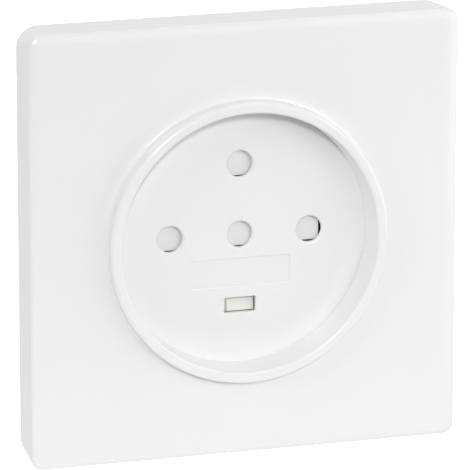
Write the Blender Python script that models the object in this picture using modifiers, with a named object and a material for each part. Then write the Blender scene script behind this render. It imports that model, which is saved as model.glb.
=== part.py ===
"""A flush wall socket for three phases, neutral and earth, with a sliding shutter behind its pin holes.

The socket is modelled lying on its back, as on a bench: X to the right, Y up the plate and Z out of the
wall, with the wall's surface at Z = 0. The empty wall_datum then stands it up, so that its front looks
along -Y and the origin is the middle of the whole socket. Each contact with its clamp is modelled along
the X axis of its own pole empty, which turns it to its place round the socket.
"""

import math

import bmesh
import bpy
from mathutils import Matrix

MM = 0.001

# Clearance between pieces that touch or fit into each other.
GAP = 0.3 * MM

# Front plate: a square shell with a raised collar round the well.
PLATE_SIDE = 80.0 * MM
PLATE_DEPTH = 9.0 * MM
PLATE_CORNER = 3.4 * MM
PLATE_EDGE = 2.0 * MM
PLATE_WALL = 2.0 * MM
MOUTH_RADIUS = 24.0 * MM
COLLAR_WIDTH = 2.0 * MM
COLLAR_HEIGHT = 3.0 * MM
COLLAR_ROUNDING = 0.8 * MM
MOUTH_ROUNDING = 0.35 * MM
COLLAR_FOOT = 1.0 * MM
WELL_DRAFT = 0.25 * MM
RIB_THICKNESS = 1.0 * MM
RIB_DEPTH = 2.0 * MM
RIB_OFFSET = 9.0 * MM

# Snap legs under the plate and the lugs of the frame that they catch.
LEG_OFFSET = 22.0 * MM
LEG_WIDTH = 6.0 * MM
LEG_THICKNESS = 1.4 * MM
LUG_MARGIN = 1.5 * MM
LUG_HEIGHT = 4.6 * MM
BARB_REACH = 0.8 * MM
BARB_HEIGHT = 1.2 * MM
BARB_CATCH = 3.1 * MM

# Well cover: the disc at the bottom of the well, with the pin holes.
FLOOR_HEIGHT = 5.0 * MM
FLOOR_THICKNESS = 0.9 * MM
COVER_WALL = 1.6 * MM
COVER_ROUNDING = 0.3 * MM
PIN_CIRCLE = 13.1 * MM
PIN_HOLE_RADIUS = 2.4 * MM
HOLE_CHAMFER = 0.35 * MM
EARTH_SLOT_WIDTH = 6.0 * MM
EARTH_SLOT_HEIGHT = 2.9 * MM
LABEL_WIDTH = 19.0 * MM
LABEL_HEIGHT = 5.2 * MM
LABEL_DEPTH = 0.3 * MM
LABEL_DROP = 7.0 * MM
LABEL_CORNER = 0.4 * MM

# Support frame: a pressed steel plate with fixing slots for a wall box.
FRAME_MARGIN = 4.5 * MM
FRAME_CORNER = 6.0 * MM
FRAME_THICKNESS = 1.2 * MM
FIXING_INSET = 5.5 * MM
FIXING_SLOT_LENGTH = 9.0 * MM
FIXING_SLOT_WIDTH = 4.2 * MM

# Contact retainer: the insulating disc between the shutter and the contacts.
RETAINER_THICKNESS = 1.6 * MM
RETAINER_HOLE_MARGIN = 0.3 * MM
RAIL_THICKNESS = 1.2 * MM
RAIL_LENGTH = 24.0 * MM
STOP_LENGTH = 2.8 * MM

# Shutter slide: it moves towards -X until its windows lie behind the pin holes.
SHUTTER_TRAVEL = 6.4 * MM
PAD_MARGIN = 0.2 * MM
PAD_FOOT = 2.32 * MM
PAD_SLOT = 0.6 * MM
PAD_FALL = 0.2 * MM
PAD_BROW = 2.6 * MM
RAMP_EDGE = 0.9 * MM
RIGHT_PAD_END = 2.15 * MM
RIGHT_PAD_FOOT = 2.25 * MM
BRIDGE_WIDTH = 1.6 * MM
SLIDE_RIM = 1.6 * MM
EARTH_BLOCK_MARGIN = 0.15 * MM
EARTH_HEAD_HEIGHT = 0.7 * MM
EARTH_HEAD_FALL = 0.5 * MM
EARTH_HEAD_GAP = 0.08 * MM
EARTH_HEAD_LEFT_GAP = 0.85 * MM
EARTH_FLANGE = 0.9 * MM
EARTH_FLANGE_THICKNESS = 0.7 * MM

# Shutter spring: a compression spring beside the slide's lower web.
SPRING_RADIUS = 1.1 * MM
SPRING_WIRE = 0.35 * MM
SPRING_LENGTH = 14.8 * MM
SPRING_TURNS = 8
SPRING_DROP = 7.2 * MM
SPRING_STOP_THICKNESS = 1.4 * MM
SPRING_STOP_WIDTH = 4.0 * MM

# Contact base: the insulating body behind the frame.
BASE_DEPTH = 26.0 * MM
BASE_RADIUS = 24.6 * MM
BASE_ROUNDING = 1.5 * MM
BASE_TAPER = 0.6 * MM
FLANGE_THICKNESS = 3.0 * MM

# Contacts: slit brass sleeves for round pins and a fork for the flat earth pin.
SLEEVE_BORE = 2.25 * MM
SLEEVE_WALL = 0.7 * MM
SLEEVE_LENGTH = 17.8 * MM
SLEEVE_LEAD_IN = 0.4 * MM
SLIT_WIDTH = 0.8 * MM
SLIT_LENGTH = 10.0 * MM
GRIP_THICKNESS = 0.45 * MM
GRIP_HEIGHT = 2.5 * MM
GRIP_DROP = 3.1 * MM
GRIP_OPENING = 1.6 * MM
FORK_WIDTH = 4.6 * MM
FORK_THICKNESS = 0.8 * MM
FORK_PINCH = 0.9 * MM
FORK_MOUTH = 1.5 * MM
TAIL_WIDTH = 4.6 * MM
TAIL_THICKNESS = 1.2 * MM

# Clamps: brass cages in which a screw presses the wire against the contact's tail.
CLAMP_RADIUS = 19.9 * MM
CLAMP_DEPTH = 5.4 * MM
CLAMP_WIDTH = 7.6 * MM
CLAMP_HEIGHT = 9.0 * MM
CLAMP_DROP = 7.0 * MM
CLAMP_ROOF = 1.4 * MM
CLAMP_SOLE = 1.6 * MM
CLAMP_EDGE = 0.3 * MM
WIRE_WINDOW_WIDTH = 5.4 * MM
WIRE_WINDOW_HEIGHT = 4.8 * MM
WIRE_WINDOW_DROP = 10.0 * MM

# Screws.
CLAMP_SCREW_RADIUS = 1.75 * MM
CLAMP_SCREW_LENGTH = 9.8 * MM
CLAMP_SCREW_BITE = 3.3 * MM
CLAMP_HEAD_RADIUS = 2.8 * MM
CLAMP_HEAD_HEIGHT = 2.2 * MM
HEAD_SLOT_WIDTH = 0.8 * MM
HEAD_SLOT_DEPTH = 1.1 * MM
HEAD_ROUNDING = 0.4 * MM
EAR_RADIUS = 29.0 * MM
EAR_WIDTH = 6.4 * MM
EAR_THICKNESS = 1.9 * MM
EAR_BOSS_DEPTH = 12.0 * MM
EAR_ANGLES = (45.0, 225.0)
EAR_SCREW_RADIUS = 1.4 * MM
EAR_SCREW_LENGTH = 12.5 * MM
EAR_HEAD_RADIUS = 2.5 * MM
EAR_HEAD_HEIGHT = 1.6 * MM

# Steps along round shapes.
ROUND_STEPS = 64
BORE_STEPS = 20
SMALL_STEPS = 14
CORNER_STEPS = 6
SPRING_STEPS = 8

# Sizes that follow from the ones above.
COLLAR_RADIUS = MOUTH_RADIUS + COLLAR_WIDTH
COLLAR_TOP = PLATE_DEPTH + COLLAR_HEIGHT
PLATE_INSIDE = PLATE_DEPTH - PLATE_WALL
FRAME_SIDE = PLATE_SIDE - 2 * FRAME_MARGIN
FIXING_CENTRES = FRAME_SIDE - 2 * FIXING_INSET
FLOOR_BACK = FLOOR_HEIGHT - FLOOR_THICKNESS
COVER_INNER_RADIUS = COLLAR_RADIUS - COVER_WALL
COVER_FOOT = FRAME_THICKNESS + GAP
FRAME_OPENING = COVER_INNER_RADIUS + GAP
RETAINER_RADIUS = COVER_INNER_RADIUS - GAP
RETAINER_BACK = -RETAINER_THICKNESS
BASE_FRONT = -GAP
RECESS_RADIUS = RETAINER_RADIUS + GAP
RECESS_FLOOR = RETAINER_BACK - GAP
SLIDE_FRONT = FLOOR_BACK - GAP
SLIDE_BACK = GAP
PAD_HALF = PIN_HOLE_RADIUS + PAD_MARGIN
WINDOW_START = SHUTTER_TRAVEL - PIN_HOLE_RADIUS
WINDOW_END = SHUTTER_TRAVEL + PIN_HOLE_RADIUS + PAD_MARGIN
BAR_HALF = PAD_HALF + PAD_SLOT + BRIDGE_WIDTH
SLIDE_LEFT = -PIN_CIRCLE - PAD_HALF - PAD_SLOT
SLIDE_WEB_RIGHT = WINDOW_END + BRIDGE_WIDTH
RAMP_DROP = SLIDE_FRONT - PAD_FALL - SLIDE_BACK - RAMP_EDGE
RAMP_SLOPE = RAMP_DROP / (WINDOW_START - PAD_BROW)
EARTH_BLOCK_HALF_WIDTH = EARTH_SLOT_WIDTH / 2 + EARTH_BLOCK_MARGIN
EARTH_BLOCK_HALF_HEIGHT = EARTH_SLOT_HEIGHT / 2 + EARTH_BLOCK_MARGIN
EARTH_HOLE_HALF_HEIGHT = EARTH_BLOCK_HALF_HEIGHT + GAP
EARTH_WINDOW_END = SHUTTER_TRAVEL + EARTH_SLOT_WIDTH / 2
SLIDE_WEB_LEFT = -EARTH_BLOCK_HALF_WIDTH - GAP - SLIDE_RIM
SLIDE_TOP = PIN_CIRCLE + PAD_HALF + SLIDE_RIM
SLIDE_BOTTOM = -PIN_CIRCLE - EARTH_HOLE_HALF_HEIGHT - EARTH_FLANGE - SLIDE_RIM
LUG_X = FRAME_SIDE / 2 - FRAME_THICKNESS
SLEEVE_RADIUS = SLEEVE_BORE + SLEEVE_WALL
SLEEVE_TOP = RECESS_FLOOR
GRIP_TOP = SLEEVE_TOP - GRIP_DROP
BORE_RADIUS = SLEEVE_RADIUS + GAP + GRIP_THICKNESS + GAP
BORE_FLOOR = SLEEVE_TOP - SLEEVE_LENGTH - GAP
CLAMP_TOP = -CLAMP_DROP
CLAMP_BACK = CLAMP_TOP - CLAMP_HEIGHT
TAIL_TOP = CLAMP_TOP - CLAMP_ROOF - GAP
TAIL_END = CLAMP_RADIUS + CLAMP_DEPTH / 2 - GAP
WALL_PLANE_Y = (COLLAR_TOP - BASE_DEPTH) / 2

# Each pole: its name, where its clamp lies round the socket, and how far out its pin is.
ROUND_POLES = (
    ("phase_1", 180.0, PIN_CIRCLE),
    ("phase_2", 90.0, PIN_CIRCLE),
    ("phase_3", 0.0, PIN_CIRCLE),
    ("neutral", 315.0, 0.0),
)
EARTH_POLE = ("earth", 270.0, PIN_CIRCLE)

# Finishes: base colour, roughness and metallic value.
WHITE_MOULDING = ((0.86, 0.86, 0.86), 0.32, 0.0)
IVORY_MOULDING = ((0.85, 0.84, 0.79), 0.40, 0.0)
DARK_MOULDING = ((0.055, 0.058, 0.062), 0.50, 0.0)
BRASS = ((0.72, 0.52, 0.22), 0.30, 1.0)
ZINCED_STEEL = ((0.62, 0.63, 0.64), 0.35, 1.0)
SPRING_STEEL = ((0.50, 0.50, 0.52), 0.30, 1.0)


def clear_scene():
    for old in list(bpy.data.objects):
        bpy.data.objects.remove(old, do_unlink=True)


clear_scene()
parts = bpy.data.collections.new("three_phase_socket")
tools = bpy.data.collections.new("cutters")
bpy.context.scene.collection.children.link(parts)
bpy.context.scene.collection.children.link(tools)


def empty(name, parent=None, turn=0.0):
    guide = bpy.data.objects.new(name, None)
    guide.empty_display_size = 5 * MM
    guide.parent = parent
    guide.rotation_euler = (0.0, 0.0, math.radians(turn))
    parts.objects.link(guide)
    return guide


wall_datum = empty("wall_datum")
wall_datum.rotation_euler = (math.radians(90), 0.0, 0.0)
wall_datum.location = (0.0, WALL_PLANE_Y, 0.0)


def piece(name, data, look, parent=wall_datum):
    """A sub-part of the socket, with its own material."""
    colour, roughness, metallic = look
    material = bpy.data.materials.new(name + "_finish")
    material.use_nodes = True
    shader = material.node_tree.nodes["Principled BSDF"]
    shader.inputs["Base Color"].default_value = (*colour, 1.0)
    shader.inputs["Roughness"].default_value = roughness
    shader.inputs["Metallic"].default_value = metallic
    data.materials.append(material)
    made = bpy.data.objects.new(name, data)
    made.parent = parent
    parts.objects.link(made)
    return made


def tool(name, data, parent=wall_datum):
    """A shape that only cuts or extends a sub-part."""
    made = bpy.data.objects.new(name, data)
    made.parent = parent
    made.hide_render = True
    made.display_type = "WIRE"
    tools.objects.link(made)
    return made


def combine(target, operation, shapes):
    for shape in shapes:
        modifier = target.modifiers.new(shape.name, "BOOLEAN")
        modifier.operation = operation
        modifier.solver = "EXACT"
        modifier.object = shape


def cut(target, *shapes):
    combine(target, "DIFFERENCE", shapes)


def join(target, *shapes):
    combine(target, "UNION", shapes)


def arc(centre_x, centre_y, radius, start, end, steps=CORNER_STEPS):
    """Points on a circular arc between two angles in degrees."""
    points = []
    for step in range(steps + 1):
        angle = math.radians(start + (end - start) * step / steps)
        points.append((centre_x + radius * math.cos(angle), centre_y + radius * math.sin(angle)))
    return points


def circle(radius, steps=ROUND_STEPS, centre=(0.0, 0.0)):
    return arc(*centre, radius, 0.0, 360.0, steps)[:-1]


def rectangle(left, right, bottom, top):
    return [(left, bottom), (right, bottom), (right, top), (left, top)]


def rounded_rectangle(width, height, radius, centre=(0.0, 0.0), steps=CORNER_STEPS):
    points = []
    for quarter, (side_x, side_y) in enumerate(((1, 1), (-1, 1), (-1, -1), (1, -1))):
        corner_x = centre[0] + side_x * (width / 2 - radius)
        corner_y = centre[1] + side_y * (height / 2 - radius)
        points += arc(corner_x, corner_y, radius, 90.0 * quarter, 90.0 * quarter + 90.0, steps)
    return points


def ribbon(path, thickness):
    """The outline of a strip of sheet metal that is bent along a path."""
    sides = ([], [])
    for index, (x, y) in enumerate(path):
        before = path[max(index - 1, 0)]
        after = path[min(index + 1, len(path) - 1)]
        length = math.dist(before, after)
        normal = ((before[1] - after[1]) / length, (after[0] - before[0]) / length)
        for side, sign in zip(sides, (1, -1)):
            side.append((x + sign * normal[0] * thickness / 2, y + sign * normal[1] * thickness / 2))
    return sides[0] + sides[1][::-1]


def slab(name, outlines, bottom, top):
    """A flat plate's mesh between two heights, from its outline and those of its holes."""
    curve = bpy.data.curves.new(name, "CURVE")
    curve.dimensions = "2D"
    curve.fill_mode = "BOTH"
    curve.extrude = (top - bottom) / 2
    for outline in outlines:
        spline = curve.splines.new("POLY")
        spline.points.add(len(outline) - 1)
        for point, (x, y) in zip(spline.points, outline):
            point.co = (x, y, 0.0, 1.0)
        spline.use_cyclic_u = True
    pattern = bpy.data.objects.new(name, curve)
    tools.objects.link(pattern)
    bpy.context.view_layer.update()
    graph = bpy.context.evaluated_depsgraph_get()
    mesh = bpy.data.meshes.new_from_object(pattern.evaluated_get(graph))
    bpy.data.objects.remove(pattern, do_unlink=True)
    bpy.data.curves.remove(curve)
    shape = bmesh.new()
    shape.from_mesh(mesh)
    bmesh.ops.remove_doubles(shape, verts=shape.verts, dist=0.001 * MM)
    if len(outlines) == 1:
        flat = math.radians(0.5)
        bmesh.ops.dissolve_limit(shape, angle_limit=flat, verts=shape.verts, edges=shape.edges)
    bmesh.ops.recalc_face_normals(shape, faces=shape.faces)
    bmesh.ops.translate(shape, verts=shape.verts, vec=(0.0, 0.0, (bottom + top) / 2))
    shape.to_mesh(mesh)
    shape.free()
    mesh.materials.clear()
    mesh.name = name
    return mesh


def stood_up(mesh):
    """Turns a slab so that its outline lies in the XZ plane and its thickness along Y."""
    mesh.transform(Matrix.Rotation(math.radians(90), 4, "X"))
    return mesh


def side_slab(name, outlines, left, right):
    """A slab whose outline is given in X and Z, between two places along Y."""
    return stood_up(slab(name, outlines, -right, -left))


def box(name, left, right, near, far, bottom, top):
    return slab(name, [rectangle(left, right, near, far)], bottom, top)


def copies(name, mesh, placings):
    """One mesh that holds a copy of a mesh at each placing."""
    shape = bmesh.new()
    for placing in placings:
        copy = mesh.copy()
        copy.transform(placing)
        if placing.determinant() < 0:
            copy.flip_normals()
        shape.from_mesh(copy)
        bpy.data.meshes.remove(copy)
    merged = bpy.data.meshes.new(name)
    shape.to_mesh(merged)
    shape.free()
    return merged


def turned(about):
    """Placings that turn a mesh about Z by each of some angles in degrees."""
    return [Matrix.Rotation(math.radians(angle), 4, "Z") for angle in about]


def profile(name, points, closed):
    """A turned shape's profile, with the radius along X. Its outer side runs from the top down."""
    mesh = bpy.data.meshes.new(name)
    edges = [(index, index + 1) for index in range(len(points) - 1)]
    if closed:
        edges.append((len(points) - 1, 0))
    mesh.from_pydata([(radius, 0.0, height) for radius, height in points], edges, [])
    return mesh


def lathe(made, steps):
    """Turns an object's profile about its Z axis."""
    modifier = made.modifiers.new("turned", "SCREW")
    modifier.axis = "Z"
    modifier.steps = steps
    modifier.render_steps = steps
    modifier.use_merge_vertices = True
    modifier.merge_threshold = 0.001 * MM
    return made


def bevelled(made, width, segments=2):
    modifier = made.modifiers.new("edges", "BEVEL")
    modifier.width = width
    modifier.segments = segments
    modifier.limit_method = "ANGLE"
    modifier.angle_limit = math.radians(60)
    return made


def round_front_edge(made, radius, height):
    """Rounds the edges where the top face of a slab meets its sides."""
    shape = bmesh.new()
    shape.from_mesh(made.data)
    weights = shape.edges.layers.float.new("bevel_weight_edge")
    for edge in shape.edges:
        at_top = all(abs(vertex.co.z - height) < 0.001 * MM for vertex in edge.verts)
        if at_top and edge.calc_face_angle() > math.radians(45):
            edge[weights] = 1.0
    shape.to_mesh(made.data)
    shape.free()
    modifier = made.modifiers.new("front_edge", "BEVEL")
    modifier.width = radius
    modifier.segments = CORNER_STEPS
    modifier.limit_method = "WEIGHT"


def collar_profile():
    """The collar and the well's wall: rounded mouth, outer side, foot on the plate, tube behind it."""
    sink = 0.03 * MM
    inside = PLATE_DEPTH - PLATE_WALL / 2
    foot_radius = COLLAR_RADIUS + COLLAR_FOOT
    shoulder = COLLAR_RADIUS - COLLAR_ROUNDING
    points = arc(shoulder, COLLAR_TOP - COLLAR_ROUNDING, COLLAR_ROUNDING, 90, 0, 4)
    points += arc(foot_radius, PLATE_DEPTH + COLLAR_FOOT - sink, COLLAR_FOOT, 180, 270, 4)
    points += [(foot_radius, inside), (COLLAR_RADIUS, inside)]
    points += [(COLLAR_RADIUS, FLOOR_HEIGHT + GAP), (MOUTH_RADIUS - WELL_DRAFT, FLOOR_HEIGHT + GAP)]
    points += arc(MOUTH_RADIUS + MOUTH_ROUNDING, COLLAR_TOP - MOUTH_ROUNDING, MOUTH_ROUNDING, 180, 90, 3)
    return points


def plate_ribs():
    """Eight ribs between the well's tube and the plate's side walls."""
    tube_middle = MOUTH_RADIUS + COLLAR_WIDTH / 2
    start = math.sqrt(tube_middle**2 - RIB_OFFSET**2)
    side = PLATE_SIDE / 2 - PLATE_WALL / 2
    root = PLATE_INSIDE + PLATE_WALL / 4
    tip = PLATE_INSIDE - RIB_DEPTH
    near, far = RIB_OFFSET - RIB_THICKNESS / 2, RIB_OFFSET + RIB_THICKNESS / 2
    rib = box("rib", start, side, near, far, tip, root)
    mirrored = Matrix.Scale(-1, 4, (0, 1, 0))
    quarter_turns = turned((0, 90, 180, 270))
    return copies("plate_ribs", rib, quarter_turns + [turn @ mirrored for turn in quarter_turns])


def snap_legs():
    """Four legs under the plate, each with a barb that catches the window of a lug."""
    outer = LUG_X - GAP
    inner = outer - LEG_THICKNESS
    tip = FRAME_THICKNESS + GAP
    root = PLATE_INSIDE + PLATE_WALL / 4
    barb_foot = BARB_CATCH - BARB_HEIGHT
    outline = [
        (inner, root),
        (inner, tip),
        (outer - LEG_THICKNESS / 3, tip),
        (outer, barb_foot),
        (outer + BARB_REACH, BARB_CATCH - BARB_HEIGHT / 4),
        (outer + BARB_REACH, BARB_CATCH),
        (outer, BARB_CATCH),
        (outer, root),
    ]
    leg = side_slab("leg", [outline], LEG_OFFSET - LEG_WIDTH / 2, LEG_OFFSET + LEG_WIDTH / 2)
    mirror_x = Matrix.Scale(-1, 4, (1, 0, 0))
    mirror_y = Matrix.Scale(-1, 4, (0, 1, 0))
    return copies("snap_legs", leg, [Matrix(), mirror_x, mirror_y, mirror_x @ mirror_y])


def make_front_plate():
    outline = rounded_rectangle(PLATE_SIDE, PLATE_SIDE, PLATE_CORNER)
    plate = piece("front_plate", slab("front_plate", [outline], 0.0, PLATE_DEPTH), WHITE_MOULDING)
    round_front_edge(plate, PLATE_EDGE, PLATE_DEPTH)
    inside_side = PLATE_SIDE - 2 * PLATE_WALL
    inside = rounded_rectangle(inside_side, inside_side, PLATE_CORNER - PLATE_WALL)
    cavity = tool("plate_cavity", slab("plate_cavity", [inside], -PLATE_WALL, PLATE_INSIDE))
    hole = circle(MOUTH_RADIUS + COLLAR_WIDTH / 2)
    opening = tool("plate_opening", slab("plate_opening", [hole], -PLATE_WALL, COLLAR_TOP))
    collar = lathe(tool("plate_collar", profile("plate_collar", collar_profile(), True)), ROUND_STEPS)
    cut(plate, cavity, opening)
    join(plate, collar, tool("plate_ribs", plate_ribs()), tool("snap_legs", snap_legs()))


def pin_places():
    """Where the four round pins enter, in X and Y."""
    places = []
    for _, angle, radius in ROUND_POLES:
        turn = math.radians(angle)
        places.append((radius * math.cos(turn), radius * math.sin(turn)))
    return places


def ears(name, bottom, top, root):
    """Ears for the assembly screws, each a tongue with a round end."""
    half = EAR_WIDTH / 2
    outline = [(root, -half), *arc(EAR_RADIUS, 0.0, half, -90, 90, 2 * CORNER_STEPS), (root, half)]
    return tool(name, copies(name, slab(name, [outline], bottom, top), turned(EAR_ANGLES)))


def ear_bores(name, radius, bottom, top):
    bore = slab(name, [circle(radius, SMALL_STEPS, (EAR_RADIUS, 0.0))], bottom, top)
    return tool(name, copies(name, bore, turned(EAR_ANGLES)))


def make_well_cover():
    rim = COLLAR_RADIUS - COVER_ROUNDING
    points = [(0.0, FLOOR_HEIGHT), *arc(rim, FLOOR_HEIGHT - COVER_ROUNDING, COVER_ROUNDING, 90, 0, 2)]
    points += [(COLLAR_RADIUS, COVER_FOOT), (COVER_INNER_RADIUS, COVER_FOOT)]
    points += [(COVER_INNER_RADIUS, FLOOR_BACK), (0.0, FLOOR_BACK)]
    cover = piece("well_cover", profile("well_cover", points, False), WHITE_MOULDING)
    lathe(cover, ROUND_STEPS)
    ear_foot = COVER_FOOT + 0.05 * MM
    join(cover, ears("cover_ears", ear_foot, ear_foot + EAR_THICKNESS, COLLAR_RADIUS - COVER_WALL / 2))
    above = FLOOR_HEIGHT + HOLE_CHAMFER
    hole_points = [(0.0, above), (PIN_HOLE_RADIUS + 2 * HOLE_CHAMFER, above)]
    hole_points += [(PIN_HOLE_RADIUS, FLOOR_HEIGHT - HOLE_CHAMFER), (PIN_HOLE_RADIUS, SLIDE_BACK)]
    hole_points.append((0.0, SLIDE_BACK))
    for index, (x, y) in enumerate(pin_places()):
        name = f"pin_hole_{index + 1}"
        hole = lathe(tool(name, profile(name, hole_points, False)), BORE_STEPS)
        hole.location = (x, y, 0.0)
        cut(cover, hole)
    slot = rectangle(
        -EARTH_SLOT_WIDTH / 2,
        EARTH_SLOT_WIDTH / 2,
        -PIN_CIRCLE - EARTH_SLOT_HEIGHT / 2,
        -PIN_CIRCLE + EARTH_SLOT_HEIGHT / 2,
    )
    label = rounded_rectangle(LABEL_WIDTH, LABEL_HEIGHT, LABEL_CORNER, (0.0, -LABEL_DROP), 3)
    label_floor = FLOOR_HEIGHT - LABEL_DEPTH
    cut(
        cover,
        tool("earth_slot", slab("earth_slot", [slot], SLIDE_BACK, above)),
        tool("label_recess", slab("label_recess", [label], label_floor, above)),
        ear_bores("cover_ear_bores", EAR_SCREW_RADIUS + GAP, 0.0, FLOOR_HEIGHT),
    )


def make_support_frame():
    outlines = [rounded_rectangle(FRAME_SIDE, FRAME_SIDE, FRAME_CORNER), circle(FRAME_OPENING)]
    sheet = slab("support_frame", outlines, 0.0, FRAME_THICKNESS)
    frame = piece("support_frame", sheet, ZINCED_STEEL)
    radius = FIXING_SLOT_WIDTH / 2 - 0.01 * MM
    place = (FIXING_CENTRES / 2, 0.0)
    slot_outline = rounded_rectangle(FIXING_SLOT_WIDTH, FIXING_SLOT_LENGTH, radius, place)
    slot = slab("fixing_slot", [slot_outline], -FRAME_THICKNESS, 2 * FRAME_THICKNESS)
    half = LEG_WIDTH / 2 + LUG_MARGIN
    lug = box(
        "lug",
        LUG_X,
        LUG_X + FRAME_THICKNESS,
        LEG_OFFSET - half,
        LEG_OFFSET + half,
        FRAME_THICKNESS / 2,
        LUG_HEIGHT,
    )
    window_half = LEG_WIDTH / 2 + GAP
    window = box(
        "window",
        LUG_X - FRAME_THICKNESS,
        LUG_X + 2 * FRAME_THICKNESS,
        LEG_OFFSET - window_half,
        LEG_OFFSET + window_half,
        BARB_CATCH - BARB_HEIGHT - GAP,
        BARB_CATCH + GAP,
    )
    mirror_x = Matrix.Scale(-1, 4, (1, 0, 0))
    mirror_y = Matrix.Scale(-1, 4, (0, 1, 0))
    four = [Matrix(), mirror_x, mirror_y, mirror_x @ mirror_y]
    join(frame, tool("lugs", copies("lugs", lug, four)))
    cut(
        frame,
        tool("lug_windows", copies("lug_windows", window, four)),
        tool("fixing_slots", copies("fixing_slots", slot, turned((0, 90, 180, 270)))),
        ear_bores("frame_ear_bores", EAR_SCREW_RADIUS + GAP, -FRAME_THICKNESS, 2 * FRAME_THICKNESS),
    )


def pad_ramp(name, x, y, end, upper):
    """Cuts a pad's face, which falls gently to its right and ends there in a steep ramp."""
    front = SLIDE_FRONT + GAP
    start, brow, brink = x - PIN_HOLE_RADIUS, x + min(PAD_BROW, end), x + end + GAP
    brow_height = SLIDE_FRONT - PAD_FALL
    outline = [
        (start, front),
        (start, SLIDE_FRONT),
        (brow, brow_height),
        (brink, brow_height - (brink - brow) * RAMP_SLOPE),
        (brink, front),
    ]
    return tool(name, side_slab(name, [outline], y - PAD_HALF, y + upper))


def pad_window(name, x, y):
    """Cuts the window on a pad's right, with the narrow slot that runs on under the pad."""
    top, foot, bottom = y + PAD_HALF - PAD_MARGIN / 2, y - PAD_FOOT, y - PAD_HALF - PAD_SLOT
    left, start, end = x - PAD_HALF, x + WINDOW_START, x + WINDOW_END
    outline = [(left, bottom), (end, bottom), (end, top), (start, top), (start, foot), (left, foot)]
    return tool(name, slab(name, [outline], 0.0, SLIDE_FRONT + GAP))


def make_shutter_slide():
    right_end = PIN_CIRCLE + RIGHT_PAD_END
    outline = [
        (SLIDE_LEFT, -BAR_HALF),
        (SLIDE_WEB_LEFT, -BAR_HALF),
        (SLIDE_WEB_LEFT, SLIDE_BOTTOM),
        (SLIDE_WEB_RIGHT, SLIDE_BOTTOM),
        (SLIDE_WEB_RIGHT, -RIGHT_PAD_FOOT),
        (right_end, -RIGHT_PAD_FOOT),
        (right_end, PAD_HALF),
        (SLIDE_WEB_RIGHT, PAD_HALF),
        (SLIDE_WEB_RIGHT, SLIDE_TOP),
        (SLIDE_WEB_LEFT, SLIDE_TOP),
        (SLIDE_WEB_LEFT, BAR_HALF),
        (SLIDE_LEFT, BAR_HALF),
    ]
    earth_hole = rectangle(
        -EARTH_BLOCK_HALF_WIDTH - GAP,
        EARTH_WINDOW_END,
        -PIN_CIRCLE - EARTH_HOLE_HALF_HEIGHT,
        -PIN_CIRCLE + EARTH_HOLE_HALF_HEIGHT,
    )
    sheet = slab("shutter_slide", [outline, earth_hole], SLIDE_BACK, SLIDE_FRONT)
    slide = piece("shutter_slide", sheet, WHITE_MOULDING)
    pocket_half_width = EARTH_BLOCK_HALF_WIDTH
    pocket_half_height = EARTH_HOLE_HALF_HEIGHT + EARTH_FLANGE + GAP
    pocket = box(
        "earth_pocket",
        -pocket_half_width,
        pocket_half_width,
        -PIN_CIRCLE - pocket_half_height,
        -PIN_CIRCLE + pocket_half_height,
        0.0,
        SLIDE_BACK + EARTH_FLANGE_THICKNESS + GAP,
    )
    cut(
        slide,
        pad_window("window_left", -PIN_CIRCLE, 0.0),
        pad_window("window_centre", 0.0, 0.0),
        pad_window("window_top", 0.0, PIN_CIRCLE),
        pad_ramp("ramp_left", -PIN_CIRCLE, 0.0, WINDOW_START, PIN_HOLE_RADIUS),
        pad_ramp("ramp_centre", 0.0, 0.0, WINDOW_START, PIN_HOLE_RADIUS),
        pad_ramp("ramp_right", PIN_CIRCLE, 0.0, RIGHT_PAD_END, PAD_HALF + GAP),
        pad_ramp("ramp_top", 0.0, PIN_CIRCLE, WINDOW_START, PIN_HOLE_RADIUS),
        tool("earth_pocket", pocket),
    )


def make_earth_shutter():
    """The ivory block behind the earth slot: a foot that is wider than the slot, with a flange that
    the slide's back holds, and a narrower head whose face falls towards the plate's middle."""
    near, far = -PIN_CIRCLE - EARTH_BLOCK_HALF_HEIGHT, -PIN_CIRCLE + EARTH_BLOCK_HALF_HEIGHT
    left, right = -EARTH_BLOCK_HALF_WIDTH, EARTH_BLOCK_HALF_WIDTH
    foot_top = SLIDE_FRONT - EARTH_HEAD_HEIGHT
    foot = box("earth_shutter", left, right, near, far, SLIDE_BACK, foot_top)
    block = piece("earth_shutter", foot, IVORY_MOULDING)
    head = box(
        "earth_head",
        EARTH_HEAD_LEFT_GAP - EARTH_SLOT_WIDTH / 2,
        EARTH_SLOT_WIDTH / 2 - EARTH_HEAD_GAP,
        EARTH_HEAD_GAP - PIN_CIRCLE - EARTH_SLOT_HEIGHT / 2,
        EARTH_SLOT_HEIGHT / 2 - PIN_CIRCLE - EARTH_HEAD_GAP,
        foot_top - GAP,
        SLIDE_FRONT,
    )
    for corner in head.vertices:
        if corner.co.z > foot_top and corner.co.y > -PIN_CIRCLE:
            corner.co.z -= EARTH_HEAD_FALL
    flange_back = SLIDE_BACK + GAP / 6
    flange = box(
        "earth_flange",
        left + GAP,
        right - GAP,
        near - GAP - EARTH_FLANGE,
        far + GAP + EARTH_FLANGE,
        flange_back,
        flange_back + EARTH_FLANGE_THICKNESS,
    )
    join(block, tool("earth_head", head), tool("earth_flange", flange))


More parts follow.
